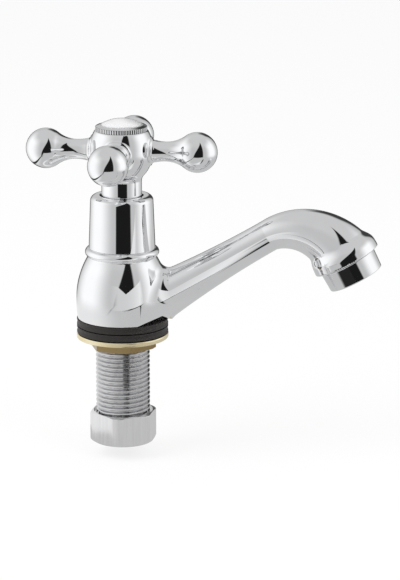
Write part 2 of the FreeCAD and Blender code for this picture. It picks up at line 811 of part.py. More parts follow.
def handle_screw_washer():
    return tube(screw_r + piece_gap, screw_washer_r, web_top, screw_washer_top)


# ---- Index cap ---------------------------------------------------------------
def reeded_rim():
    """Ring of fine upright teeth."""
    corners = []
    steps = 4 * reed_count
    for index in range(steps + 1):
        angle = 2 * math.pi * index / steps
        radius = cap_r if index % 4 < 2 else cap_r - reed_depth
        corners.append(Vector(radius * math.cos(angle), radius * math.sin(angle), hub_top))
    return Part.Face(Part.makePolygon(corners)).extrude(UP * reed_height)


def index_cap():
    """Reeded cap with a recess for the disc, and a skirt that presses into the hub."""
    rim_top = hub_top + reed_height
    recess_r = disc_r + running_gap
    bevel = turned_outline([
        (0, rim_top), (cap_r - reed_depth, rim_top), (recess_r + cap_bevel_height, cap_top), (0, cap_top),
    ])
    skirt_r = pocket_r - running_gap
    skirt_bottom = hub_top - cap_skirt_length
    shape = reeded_rim().fuse([bevel, cylinder(skirt_r, skirt_bottom, hub_top)])
    shape = shape.cut(cylinder(recess_r, disc_bottom, cap_top + cut_margin))
    return shape.cut(cylinder(skirt_r - cap_skirt_wall, skirt_bottom - cut_margin, hub_top))


def index_disc():
    """Pale domed disc, bare of any mark."""
    crown = disc_edge_top + disc_dome
    run, rise = swell_on_side(disc_r, -disc_dome)
    edges = [
        line((0, disc_bottom), (disc_r, disc_bottom)),
        line((disc_r, disc_bottom), (disc_r, disc_edge_top)),
        arc((disc_r, disc_edge_top), (run, crown + rise), (0, crown)),
        line((0, crown), (0, disc_bottom)),
    ]
    return turned(edges)


# ---- Aerator, drawn about Z with the collar face at height 0 ------------------
def aerator_housing():
    """Threaded ring that holds the insert and the screen against the outlet's washer."""
    end = -aerator_length
    lip_r = aerator_bore_r - aerator_lip
    edge = aerator_edge
    outline = [
        (lip_r, end), (aerator_end_r - edge, end), (aerator_end_r, end + edge),
        (aerator_top_r, -aerator_step - edge), (aerator_top_r - edge, -aerator_step),
        (aerator_spigot_r, -aerator_step), (aerator_spigot_r, aerator_spigot_length),
        (aerator_bore_r, aerator_spigot_length), (aerator_bore_r, screen_bottom),
        (lip_r, screen_bottom),
    ]
    return to_outlet(turned_outline(outline))


def aerator_washer():
    inner_r = aerator_spigot_r - aerator_washer_wall
    return to_outlet(tube(inner_r, aerator_spigot_r, aerator_spigot_length, outlet_washer_top))


def aerator_screen():
    """Flat outlet screen with a square field of holes."""
    shape = cylinder(aerator_bore_r - running_gap, screen_bottom, screen_top)
    holes = []
    first = -screen_pitch * (screen_rows - 1) / 2
    for row in range(screen_rows):
        for column in range(screen_rows):
            x = first + screen_pitch * column
            y = first + screen_pitch * row
            if math.hypot(x, y) < aerator_bore_r - aerator_lip - screen_hole:
                hole = square(screen_hole, screen_bottom - cut_margin, screen_top + cut_margin)
                hole.translate(Vector(x, y, 0))
                holes.append(hole)
    return to_outlet(shape.cut(Part.makeCompound(holes)))


def aerator_insert():
    """Moulded cup that breaks the stream into jets and mixes in air."""
    top = screen_top + insert_height
    deck_bottom = top - insert_deck
    outer_r = aerator_bore_r - running_gap
    shape = cylinder(outer_r, screen_top, top)
    shape = shape.cut(cylinder(outer_r - insert_wall, screen_top - cut_margin, deck_bottom))
    for index in range(insert_hole_count):
        angle = 2 * math.pi * index / insert_hole_count
        hole = cylinder(insert_hole_r, deck_bottom - cut_margin, top + cut_margin)
        hole.translate(Vector(math.cos(angle), math.sin(angle), 0) * insert_hole_circle_r)
        shape = shape.cut(hole)
    return to_outlet(shape)


PIECES = [
    tap_body, threaded_shank, shank_seal, upper_deck_washer, lower_deck_washer, flanged_backnut,
    coupling_nut, tail_washer, headgear_body, headgear_seal, shroud, shroud_o_ring, spindle,
    spindle_o_rings, spindle_thrust_washer, spindle_clip, jumper_carrier, jumper_washer, jumper_nut,
    cross_handle, handle_screw, handle_screw_washer, index_cap, index_disc, aerator_housing,
    aerator_washer, aerator_screen, aerator_insert,
]

if __name__ == "__main__":
    os.makedirs("parts", exist_ok=True)
    for piece in PIECES:
        shape = piece()
        print(piece.__name__, shape.isValid(), len(shape.Solids), round(shape.Volume, 1))
        shape.exportStep("parts/" + piece.__name__ + ".step")
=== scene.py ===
import json
import math

import bpy
import numpy as np
from mathutils import Matrix, Vector


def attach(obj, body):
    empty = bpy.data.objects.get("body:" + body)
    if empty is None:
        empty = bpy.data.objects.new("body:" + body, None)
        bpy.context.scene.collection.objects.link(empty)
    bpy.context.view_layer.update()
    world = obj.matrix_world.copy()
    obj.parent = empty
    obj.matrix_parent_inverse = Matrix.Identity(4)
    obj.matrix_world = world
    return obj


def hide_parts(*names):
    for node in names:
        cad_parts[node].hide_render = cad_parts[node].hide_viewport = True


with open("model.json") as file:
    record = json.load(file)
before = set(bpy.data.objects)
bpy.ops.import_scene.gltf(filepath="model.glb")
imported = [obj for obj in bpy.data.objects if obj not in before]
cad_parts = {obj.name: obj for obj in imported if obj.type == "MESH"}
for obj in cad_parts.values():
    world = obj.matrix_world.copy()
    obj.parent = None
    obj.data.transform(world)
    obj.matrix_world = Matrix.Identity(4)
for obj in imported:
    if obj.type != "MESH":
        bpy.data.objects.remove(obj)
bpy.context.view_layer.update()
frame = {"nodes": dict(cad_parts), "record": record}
mm = 0.001


# ---- Body and spout ----------------------------------------------------------
# A pear-shaped body with a rising spout and a thick collar at its outlet.
# One hollow brass casting, ground smooth, polished and chrome plated to a mirror.

def melt(first, second, radius):
    """Two forms as one, with a hollow round of that radius where they meet."""
    reach = np.hypot(np.maximum(radius - first, 0), np.maximum(radius - second, 0))
    return np.maximum(radius, np.minimum(first, second)) - reach


def trim(form, other, radius=0.0):
    """What two forms share, its edge rounded with that radius."""
    reach = np.hypot(np.maximum(radius + form, 0), np.maximum(radius + other, 0))
    return np.minimum(-radius, np.maximum(form, other)) + reach


def rod(distance, along, radius, start, end):
    """Round rod given the distance from its axis and the place along it."""
    return np.maximum(distance - radius, np.maximum(start - along, along - end))


def hollowed(whole, hollows):
    """A form less its hollows, with sharp edges."""
    for hollow in hollows:
        whole = np.maximum(whole, -hollow)
    return whole


def lean(form, place, probe=0.002, least=1e-12):
    """Outward direction of a form's skin at each place."""
    grade = np.empty_like(place)
    for axis in range(3):
        ahead, behind = place.copy(), place.copy()
        ahead[:, axis] += probe
        behind[:, axis] -= probe
        grade[:, axis] = form(*ahead.T) - form(*behind.T)
    return grade / (np.linalg.norm(grade, axis=1, keepdims=True) + least)


def crossing(form, start, axis, step, start_inside, halvings=12):
    """Where the skin cuts each grid edge, found by halving."""
    near, far = np.zeros(len(start)), np.full(len(start), step)
    for _ in range(halvings):
        middle = (near + far) / 2
        place = start.copy()
        place[:, axis] += middle
        same_side = (form(*place.T) < 0) == start_inside
        near, far = np.where(same_side, middle, near), np.where(same_side, far, middle)
    place = start.copy()
    place[:, axis] += (near + far) / 2
    return place


def show(name, corners, faces, face_lean, body, slot, stands_for, material):
    """Object from corners in millimetres, faces and the lean of the skin at each face's corners."""
    mesh = bpy.data.meshes.new(name)
    mesh.from_pydata((np.asarray(corners) * mm).tolist(), [], [list(map(int, face)) for face in faces])
    mesh.polygons.foreach_set("use_smooth", [True] * len(mesh.polygons))
    mesh.normals_split_custom_set([tuple(way) for way in face_lean])
    piece = bpy.data.objects.new(name, mesh)
    bpy.context.scene.collection.objects.link(piece)
    mesh.materials.append(material)
    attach(piece, body)
    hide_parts(*stands_for)
    return piece


def grid_cuts(form, low, high, step):
    """Where the skin cuts a grid's edges, its lean there, the cells round each edge and their low corners."""
    axes = [np.arange(a, b + step, step) for a, b in zip(low, high)]
    inside = form(*np.meshgrid(*axes, indexing="ij")) < 0
    strides = np.array([inside.shape[1] * inside.shape[2], inside.shape[2], 1])
    places, leans, around = [], [], []
    for axis in range(3):
        edges = np.argwhere(inside != np.roll(inside, -1, axis))
        start_inside = inside[tuple(edges.T)]
        place = crossing(form, low + edges * step, axis, step, start_inside)
        second, third = (axis + 1) % 3, (axis + 2) % 3
        flat = edges @ strides
        ring = [flat - strides[second] - strides[third], flat - strides[third], flat, flat - strides[second]]
        ring = np.stack(ring, axis=1)
        ring[~start_inside] = ring[~start_inside][:, ::-1]
        places.append(place)
        leans.append(lean(form, place))
        around.append(ring)
    cells, faces = np.unique(np.concatenate(around), return_inverse=True)
    cell_low = low + np.stack(np.unravel_index(cells, inside.shape), 1) * step
    return np.concatenate(places), np.concatenate(leans), faces.reshape(-1, 4), cell_low


def settle(places, leans, faces, cell_low, step, stiffness=0.03):
    """One corner in each cell, where the flats of the skin that cut the cell's edges meet."""
    member, count = faces.ravel(), len(cell_low)
    owner = np.repeat(np.arange(len(places)), 4)
    share = np.bincount(member, minlength=count)
    middle = np.stack([np.bincount(member, places[owner, k], count) for k in range(3)], 1) / share[:, None]
    pull = np.einsum("ij,ij->i", leans[owner], places[owner] - middle[member])
    square, side = np.empty((count, 3, 3)), np.empty((count, 3))
    for k in range(3):
        side[:, k] = np.bincount(member, leans[owner, k] * pull, count)
        for j in range(3):
            square[:, k, j] = np.bincount(member, leans[owner, k] * leans[owner, j], count)
    square += stiffness * share[:, None, None] * np.eye(3)
    corners = middle + np.linalg.solve(square, side[:, :, None])[:, :, 0]
    return np.clip(corners, cell_low, cell_low + step)


def skin(form, room, step, crease=25.0, inward=0.3):
    """Corners, four-sided faces and leans of a form's skin, with its sharp edges kept sharp."""
    low, high = (np.array(corner, float) for corner in room)
    places, leans, faces, cell_low = grid_cuts(form, low, high, step)
    corners = settle(places, leans, faces, cell_low, step)
    corners -= lean(form, corners) * np.clip(form(*corners.T), -step / 2, step / 2)[:, None]
    member = faces.ravel()
    plain = lean(form, corners)[member]
    centres = corners[faces].mean(axis=1)
    spots = corners[faces] + inward * (centres[:, None, :] - corners[faces])
    beside = lean(form, spots.reshape(-1, 3))
    creased = np.zeros(len(corners), bool)
    creased[member[np.einsum("ij,ij->i", beside, plain) < math.cos(math.radians(crease))]] = True
    return corners, faces, np.where(creased[member][:, None], beside, plain)


belly_r = 17.85
belly_height = 7.5
base_draw = 0.5
neck_r = 13.1
rim_height = 27.8
bead_section_r = 1.65
bead_proud = 1.2
tuck_angle = math.radians(61.1)
tuck_slope = math.radians(40.0)
tuck_round = 1.5
spout_axis_height = -0.86
outlet_reach = 86.85
outlet_height = 25.75
outlet_tilt = math.radians(28.0)
bend_r = 21.0
bend_inset = 0.7
bend_tail = 0.643
root_distance = 6.0
root_r = 10.8
waist_r = 6.1
flare_power = 1.1
casting_round = 4.0
collar_r = 12.9
collar_step = 0.7
collar_draw = 1.6
collar_height = 5.4
collar_belly_height = 2.4
aerator_spigot_r = 9.25
outlet_bore_depth = 5.2
tail_mouth_r = 10.2
tail_mouth_depth = 1.2
tail_spigot_r = 8.0
tail_bore_depth = 6.3
seat_bore_r = 4.75
seat_bore_top = 11.0
chamber_r = 8.4
chamber_bottom = 9.0
chamber_top = 20.0
headgear_bore_r = 9.0
headgear_bore_bottom = 17.6
water_r = 4.0
water_end_r = 7.5
water_start = 22.0
washer_proud = 0.35
running_gap = 0.05
cut_margin = 2.0
collar_round = 2.0
bead_round = 0.4

base_r = belly_r - base_draw
bead_centre_r = neck_r + bead_proud - bead_section_r
bead_centre_height = rim_height - bead_section_r
flare_r = collar_r - collar_step
fall = math.pi / 2 - outlet_tilt
outlet_way = Vector((math.cos(fall), -math.sin(fall)))
outlet_centre = Vector((outlet_reach, outlet_height))
bend_centre = outlet_centre - outlet_way * bend_tail - Vector((math.sin(fall), math.cos(fall))) * bend_r
to_centre = bend_centre - Vector((0, spout_axis_height))
run_length = math.sqrt(to_centre.length ** 2 - bend_r ** 2)
rise = math.atan2(to_centre.y, to_centre.x) + math.atan2(bend_r, run_length)


def arc_r(height, draw):
    """Radius of an arc that is upright at its widest place and draws in by that much over that height."""
    return (height * height + draw * draw) / (2 * draw)


def spout_line(x, y, z):
    """Distance from the middle line of the spout, and shares of the straight run and of the bend."""
    along = x * math.cos(rise) + (z - spout_axis_height) * math.sin(rise)
    above = (z - spout_axis_height) * math.cos(rise) - x * math.sin(rise)
    out_x, out_z = x - bend_centre.x, z - bend_centre.y
    slope = np.arctan2(-out_x, out_z)
    bend_share = np.clip((rise - slope) / (rise + fall), 0, 1)
    reach = bend_r - bend_inset * np.sin(math.pi * bend_share)
    in_run = along < run_length
    distance = np.where(in_run, np.hypot(above, y), np.hypot(np.hypot(out_x, out_z) - reach, y))
    return distance, along, in_run, bend_share


def spout_form(x, y, z):
    distance, along, in_run, bend_share = spout_line(x, y, z)
    run_share = np.clip((along - root_distance) / (run_length - root_distance), 0, 1)
    run_r = waist_r + (root_r - waist_r) * (1 - run_share) ** 2
    bend_section_r = waist_r + (flare_r - waist_r) * bend_share ** flare_power
    tube = distance - np.where(in_run, run_r, bend_section_r)
    return np.maximum(tube, root_distance - along)


def outlet_frame(x, y, z):
    """Distance from the outlet's axis, and height above the collar's face."""
    out_x, out_z = x - outlet_centre.x, z - outlet_centre.y
    across = out_x * outlet_way.y - out_z * outlet_way.x
    return np.hypot(across, y), -(out_x * outlet_way.x + out_z * outlet_way.y)


def collar_form(distance, height):
    shoulder_r = arc_r(collar_height - collar_belly_height, collar_draw)
    shoulder = np.hypot(np.maximum(distance - collar_r + shoulder_r, 0), height - collar_belly_height)
    return np.where(height > collar_belly_height, shoulder - shoulder_r, distance - collar_r)


def body_form(x, y, z):
    """Outside of the casting less its hollows."""
    distance = np.hypot(x, y)
    neck_height = bead_centre_height - bead_section_r
    lower_r = arc_r(belly_height, base_draw)
    upper_r = arc_r(neck_height - belly_height, belly_r - neck_r)
    sweep_r = np.where(z > belly_height, upper_r, lower_r)
    pear = np.hypot(distance - belly_r + sweep_r, z - belly_height) - sweep_r
    pear = np.maximum(pear, z - bead_centre_height)
    bead = np.hypot(np.maximum(distance - bead_centre_r, 0), z - bead_centre_height) - bead_section_r
    from_outlet, above_outlet = outlet_frame(x, y, z)
    edge_round = 0.25
    spout = melt(spout_form(x, y, z), collar_form(from_outlet, above_outlet), collar_round)
    spout = trim(spout, -above_outlet, edge_round)
    whole = melt(melt(pear, spout, casting_round), bead, bead_round)
    whole = trim(whole, -z, edge_round)
    for side in (1, -1):
        outward, past_end = tuck_frame(x, y * side)
        flank = z * math.cos(tuck_slope) - outward * math.sin(tuck_slope)
        run_out = z * math.cos(tuck_slope) + past_end * math.sin(tuck_slope)
        whole = trim(whole, -trim(flank, run_out, tuck_round), edge_round)
    line_distance, along, in_run, bend_share = spout_line(x, y, z)
    way_r = np.where(in_run, water_r, water_r + (water_end_r - water_r) * bend_share)
    hollows = [
        rod(distance, z, tail_mouth_r + running_gap, -cut_margin, tail_mouth_depth),
        rod(distance, z, tail_spigot_r + running_gap, -cut_margin, tail_bore_depth),
        rod(distance, z, seat_bore_r, -cut_margin, seat_bore_top),
        rod(distance, z, chamber_r, chamber_bottom, chamber_top),
        rod(distance, z, headgear_bore_r + running_gap, headgear_bore_bottom, rim_height + cut_margin),
        np.maximum(line_distance - way_r, water_start - along),
        rod(from_outlet, above_outlet, aerator_spigot_r + running_gap, -cut_margin, outlet_bore_depth),
    ]
    return hollowed(whole, hollows)


def tuck_frame(x, y):
    """Distance outside the line from the foot's circle to the washer's rim, and distance past its end."""
    start = np.array([math.cos(tuck_angle), math.sin(tuck_angle)]) * base_r
    end = np.array([base_r + washer_proud, 0.0])
    along = (end - start) / np.linalg.norm(end - start)
    outward = (x - start[0]) * -along[1] + (y - start[1]) * along[0]
    return outward, (x - end[0]) * along[0] + (y - end[1]) * along[1]


def added(tree, kind, output, inputs, **settings):
    """Output of a new shader node. Each input is a plain value or another node's output."""
    node = tree.nodes.new(kind)
    for setting, value in settings.items():
        setattr(node, setting, value)
    for name, value in inputs.items():
        if isinstance(value, bpy.types.NodeSocket):
            tree.links.new(value, node.inputs[name])
        else:
            node.inputs[name].default_value = value
    return node.outputs[output]


def product(tree, shares):
    """All the shares multiplied together."""
    whole = shares[0]
    for share in shares[1:]:
        whole = added(tree, "ShaderNodeMath", "Value", {0: whole, 1: share}, operation="MULTIPLY")
    return whole


def plain_look(name):
    """New material, its node tree and its shader."""
    material = bpy.data.materials.new(name)
    material.use_nodes = True
    return material, material.node_tree, material.node_tree.nodes["Principled BSDF"]


def finish(name, dark, light, roughness, patch, grain, relief, depth, stretch=(1, 1, 1), metal=1.0):
    """Surface whose colour and gloss drift from patch to patch, over a fine relief of its own grain."""
    material, tree, shader = plain_look(name)
    shader.inputs["Metallic"].default_value = metal
    place = added(tree, "ShaderNodeTexCoord", "Object", {})
    place = added(tree, "ShaderNodeMapping", "Vector", {"Vector": place, "Scale": stretch})
    drift = added(tree, "ShaderNodeTexNoise", "Fac", {"Vector": place, "Scale": patch, "Detail": 3.0})
    marks = added(tree, "ShaderNodeTexNoise", "Fac", {"Vector": place, "Scale": grain, "Detail": 2.0})
    drift_low, drift_high = 0.3, 0.7
    colour = added(tree, "ShaderNodeValToRGB", "Color", {"Fac": drift}, name="colour")
    stops = tree.nodes["colour"].color_ramp.elements
    for stop, position, shade in zip(stops, (drift_low, drift_high), (dark, light)):
        stop.position = position
        stop.color = (*shade, 1)
    gloss = added(tree, "ShaderNodeMapRange", "Result", {
        "Value": drift, "From Min": drift_low, "From Max": drift_high,
        "To Min": roughness[0], "To Max": roughness[1],
    })
    bump = added(tree, "ShaderNodeBump", "Normal", {
        "Height": marks, "Strength": relief, "Distance": depth * mm,
    })
    for socket, output in (("Base Color", colour), ("Roughness", gloss), ("Normal", bump)):
        tree.links.new(output, shader.inputs[socket])
    return material


def chrome(name, worn=(0.83, 0.835, 0.845), bright=(0.865, 0.87, 0.88)):
    """Polished chrome over a surface that the grinding left barely wavy."""
    return finish(
        name, worn, bright, roughness=(0.012, 0.035), patch=90.0, grain=260.0, relief=0.2, depth=0.02,
    )


def cast(name, form, room, step, body, slot, stands_for, material):
    """Piece whose skin is looked for in a room from one corner to the other, on a grid of that step."""
    return show(name, *skin(form, room, step), body, slot, stands_for, material)


body_chrome = chrome("body_chrome")
body_room = (-19.5, -19.5, -1.0), (103.0, 19.5, 50.0)
body_step = 0.4
cast("polished_body", body_form, body_room, body_step, "tap", "body_chrome", ["tap_body"], body_chrome)


# ---- Threaded tail --------------------------------------------------------------
# Half-inch pipe thread cut on a brass tube, screwed into the underside of the body.
# Its plating is thin and dull beside the polished casting.

def turn_up(stretches, turns=192, on_axis=1e-6):
    """Corners, faces and leans of a turned form. A stretch is a list of stations along its outline, each
    a radius, a height and a lean outwards, upwards and around. Radii and leans may vary round the turn."""
    angle = np.arange(turns) * 2 * math.pi / turns
    corners, faces, leans = [], [], []

    def ring(radius, height):
        radius = np.broadcast_to(radius, turns)
        first = len(corners)
        if radius.max() < on_axis:
            corners.append((0.0, 0.0, height))
            return [first] * turns
        corners.extend(zip(radius * np.cos(angle), radius * np.sin(angle), np.broadcast_to(height, turns)))
        return list(range(first, first + turns))

    def leaning(outward, upward, around=0.0):
        outward, upward, around = (np.broadcast_to(part, turns) for part in (outward, upward, around))
        return np.stack([
            outward * np.cos(angle) - around * np.sin(angle),
            outward * np.sin(angle) + around * np.cos(angle),
            upward,
        ], axis=1)

    start_ring = last_ring = ring(*stretches[0][0][:2])
    for number, stretch in enumerate(stretches):
        for index in range(1, len(stretch)):
            before, after = leaning(*stretch[index - 1][2:]), leaning(*stretch[index][2:])
            closes = number == len(stretches) - 1 and index == len(stretch) - 1
            closes = closes and np.max(stretch[index][0]) > on_axis
            next_ring = start_ring if closes else ring(*stretch[index][:2])
            for here in range(turns):
                there = (here + 1) % turns
                if last_ring[0] == last_ring[1]:
                    faces.append([last_ring[0], next_ring[there], next_ring[here]])
                    leans += [before[here], after[there], after[here]]
                elif next_ring[0] == next_ring[1]:
                    faces.append([last_ring[here], last_ring[there], next_ring[0]])
                    leans += [before[here], before[there], after[here]]
                else:
                    faces.append([last_ring[here], last_ring[there], next_ring[there], next_ring[here]])
                    leans += [before[here], before[there], after[there], after[here]]
            last_ring = next_ring
    return corners, faces, leans


def straight(start, end):
    """Straight stretch of an outline that has the metal on its left."""
    run, rise = end[0] - start[0], end[1] - start[1]
    length = math.hypot(run, rise)
    return [(*start, rise / length, -run / length), (*end, rise / length, -run / length)]


def bow(start, end, radius, steps=16):
    """Round stretch that swells away from the metal, or is hollow where the radius is negative."""
    start, end = Vector(start), Vector(end)
    along = (end - start).normalized()
    out = Vector((along.y, -along.x))
    half_chord = (end - start).length / 2
    centre = (start + end) / 2 - out * math.copysign(math.sqrt(radius ** 2 - half_chord ** 2), radius)
    half = math.asin(half_chord / radius)
    stations = []
    for step in range(steps + 1):
        angle = half * (2 * step / steps - 1)
        way = out * math.cos(angle) + along * math.sin(angle)
        stations.append((*(centre + way * radius), *way))
    return stations


def eased(corners, steps=6):
    """Closed outline of corners, each a radius, a height and the round that eases it."""
    stretches, ends = [], []
    for index, (radius, height, ease) in enumerate(corners):
        corner = Vector((radius, height))
        into = (corner - Vector(corners[index - 1][:2])).normalized()
        away = (Vector(corners[(index + 1) % len(corners)][:2]) - corner).normalized()
        turn = math.atan2(into.x * away.y - into.y * away.x, into.dot(away))
        back = ease * math.tan(abs(turn) / 2)
        side = math.copysign(ease, turn)
        out = Vector((into.y, -into.x))
        centre = corner - into * back - out * side
        stations = []
        for step in range(steps + 1 if ease else 1):
            way = Vector(out)
            way.rotate(Matrix.Rotation(turn * step / steps, 2))
            stations.append((*(centre + way * side), *way))
        ends.append((corner - into * back, corner + away * back))
        stretches.append(stations)
    outline = []
    for index, stations in enumerate(stretches):
        if len(stations) > 1:
            outline.append(stations)
        outline.append(straight(ends[index][1], ends[(index + 1) % len(ends)][0]))
    return outline


thread_r = 10.4775
thread_pitch = 1.814
thread_depth = 1.162
thread_flat = 0.11
thread_mouth = 0.66
thread_softness = 0.6
shank_end = -44.3
thread_start = -2.2
shank_bore_r = 6.0
spigot_height = 6.0


def thread_station(height, turns):
    """Radius and lean of the V thread at that height, all round the tail, with softened root and crest."""
    phase = height - shank_end - thread_pitch * np.arange(turns) / turns
    phase = (phase + thread_pitch / 2) % thread_pitch - thread_pitch / 2
    climb = np.clip((np.abs(phase) - thread_flat) / (thread_mouth - thread_flat), 0, 1)
    rise = (1 - thread_softness) * climb + thread_softness * climb ** 2 * (3 - 2 * climb)
    slope = ((1 - thread_softness) + thread_softness * 6 * climb * (1 - climb)) * ((climb > 0) & (climb < 1))
    slope *= np.sign(phase) * thread_depth / (thread_mouth - thread_flat)
    radius = thread_r - thread_depth * (1 - rise)
    around = slope * thread_pitch / (2 * math.pi * radius)
    length = np.sqrt(1 + slope ** 2 + around ** 2)
    return radius, height, 1 / length, -slope / length, around / length


thread_turns = 128
rows_per_pitch = 14
rows = rows_per_pitch * round((thread_start - shank_end) / thread_pitch)
heights = np.linspace(shank_end, thread_start, rows)
thread = [thread_station(height, thread_turns) for height in heights]
tail_corners = [
    (thread_r, thread_start), (thread_r, 0), (tail_spigot_r, 0), (tail_spigot_r, spigot_height),
    (shank_bore_r, spigot_height), (shank_bore_r, shank_end), (thread_r, shank_end),
]
tail = [thread] + [straight(*ends) for ends in zip(tail_corners[:-1], tail_corners[1:])]
tail_plating = finish(
    "tail_plating", dark=(0.6, 0.6, 0.61), light=(0.72, 0.72, 0.73), roughness=(0.07, 0.12),
    patch=60.0, grain=1500.0, relief=0.06, depth=0.02,
)
show("threaded_tail", *turn_up(tail, thread_turns), "tap", "tail_plating", ["threaded_shank"], tail_plating)


# ---- Deck washers ---------------------------------------------------------------
# Two moulded rubber washers that the deck is clamped between, one above and one below.
# Their rims are drawn in between the lips that the mould leaves.

deck_washer_r = base_r + washer_proud
deck_washer_hole_r = 11.0
deck_washer_thickness = 2.65
hole_edge = 0.1
lip_proud = 0.25
lip_edge = 0.22
lip_draw = 0.02
lip_height = 0.55
lip_back_edge = 0.15
groove_half = 0.35
groove_round = 0.3
lower_washer_top = -2.95


def washer_outline(top):
    bottom = top - deck_washer_thickness
    middle = (top + bottom) / 2
    lip_r, groove_r = deck_washer_r - lip_draw, deck_washer_r - lip_proud
    return eased([
        (deck_washer_hole_r, bottom, hole_edge), (deck_washer_r, bottom, lip_edge),
        (lip_r, bottom + lip_height, lip_back_edge), (groove_r, middle - groove_half, groove_round),
        (groove_r, middle + groove_half, groove_round), (lip_r, top - lip_height, lip_back_edge),
        (deck_washer_r, top, lip_edge), (deck_washer_hole_r, top, hole_edge),
    ])


washer_rubber = finish(
    "washer_rubber", dark=(0.009, 0.007, 0.006), light=(0.018, 0.014, 0.013), roughness=(0.45, 0.6),
    patch=500.0, grain=900.0, relief=0.5, depth=0.05, stretch=(0.15, 0.15, 2.5), metal=0.0,
)
for name, top, body in (("upper_rubber", 0.0, "tap"), ("lower_rubber", lower_washer_top, "deck_clamp")):
    stands_for = name.replace("rubber", "deck_washer")
    show(name, *turn_up(washer_outline(top)), body, "washer_rubber", [stands_for], washer_rubber)


# ---- Flanged backnut --------------------------------------------------------------
# Thin brass nut that clamps the deck from below. Its wide flange is turned bright,
# the small hexagon under it is left as it was forged, darker and browner.

def hexagon_form(x, y, width, turn):
    """Distance outside the flats of a hexagon with a corner at that angle."""
    flats = [turn + math.radians(30 + 60 * side) for side in range(3)]
    return np.maximum.reduce([np.abs(x * math.cos(a) + y * math.sin(a)) for a in flats]) - width / 2


def chamfer(distance, height, start, end):
    """Distance outside the cone through two places of a turned edge, the outer one last."""
    run, rise = end[0] - start[0], end[1] - start[1]
    length = math.hypot(run, rise)
    return (abs(rise) * (distance - start[0]) - math.copysign(run, rise) * (height - start[1])) / length


backnut_top = -5.9
backnut_flange_r = deck_washer_r + 0.1
backnut_flange_thickness = 1.9
backnut_flange_edge = 0.4
backnut_width = 23.4
backnut_height = 3.9
backnut_turned_r = 12.6
backnut_chamfer = 0.5
backnut_turn = math.radians(-8.0)
backnut_edge = 0.18
backnut_root = 0.3
flange_bottom = backnut_top - backnut_flange_thickness
backnut_bottom = flange_bottom - backnut_height


def backnut_form(x, y, z):
    distance = np.hypot(x, y)
    middle = (backnut_top + flange_bottom) / 2
    half = backnut_flange_thickness / 2
    flange = trim(distance - backnut_flange_r, np.abs(z - middle) - half, backnut_flange_edge)
    corner_r = backnut_width / 2 / math.cos(math.pi / 6)
    foot = (backnut_turned_r, backnut_bottom)
    cone = chamfer(distance, z, foot, (corner_r, backnut_bottom + backnut_chamfer))
    flats = hexagon_form(x, y, backnut_width, backnut_turn)
    nut = trim(np.maximum(flats, z - middle), np.maximum(backnut_bottom - z, cone), backnut_edge)
    whole = melt(flange, nut, backnut_root)
    return np.maximum(whole, thread_r + running_gap - distance)


def zone(material, measure, start, end):
    """From 0 to 1 as the distance from the tap's axis, or the height, goes from start to end."""
    tree = material.node_tree
    place = added(tree, "ShaderNodeTexCoord", "Object", {})
    if measure == "distance":
        flat = added(tree, "ShaderNodeVectorMath", "Vector", {0: place, 1: (1, 1, 0)}, operation="MULTIPLY")
        value = added(tree, "ShaderNodeVectorMath", "Value", {0: flat}, operation="LENGTH")
    else:
        value = added(tree, "ShaderNodeSeparateXYZ", "Z", {"Vector": place})
    share = {"Value": value, "From Min": start * mm, "From Max": end * mm}
    return added(tree, "ShaderNodeMapRange", "Result", share)


def darken(material, dark, *zones):
    """Multiplies the material's colour by a darker one where all the zones are 1."""
    tree = material.node_tree
    colours = {"A": tree.nodes["colour"].outputs["Color"], "B": (*dark, 1)}
    mixed = added(tree, "ShaderNodeMix", "Result", {
        "Factor": product(tree, zones), **colours,
    }, data_type="RGBA", blend_type="MULTIPLY")
    tree.links.new(mixed, tree.nodes["Principled BSDF"].inputs["Base Color"])


backnut_brass = finish(
    "backnut_brass", dark=(0.82, 0.7, 0.42), light=(0.92, 0.84, 0.6), roughness=(0.16, 0.26),
    patch=140.0, grain=1500.0, relief=0.2, depth=0.02, stretch=(0.6, 0.6, 2.0),
)
forged_brown = (0.38, 0.31, 0.22)
forged_edge = 0.15
forged = zone(backnut_brass, "height", flange_bottom + forged_edge, flange_bottom - forged_edge)
darken(backnut_brass, forged_brown, forged)
backnut_room = (-18.4, -18.4, -12.1), (18.4, 18.4, -5.4)
nut_step = 0.25
cast(
    "brass_backnut", backnut_form, backnut_room, nut_step,
    "backnut", "backnut_brass", ["flanged_backnut"], backnut_brass,
)


# ---- Coupling nut -----------------------------------------------------------------
# Chrome plated brass hexagon with turned-down corners that holds the supply pipe's end.
# A rubber washer lies on the lip inside it.

coupling_top = -37.4
coupling_bottom = -49.5
coupling_width = 24.0
coupling_corner_r = 13.15
coupling_face_r = 11.6
coupling_top_chamfer = 0.5
coupling_chamfer = 1.0
coupling_lip = 2.6
coupling_hole_r = 7.6
coupling_mouth_r = 11.45
coupling_mouth_depth = 0.9
coupling_turn = math.radians(26.0)
coupling_edge = 0.25


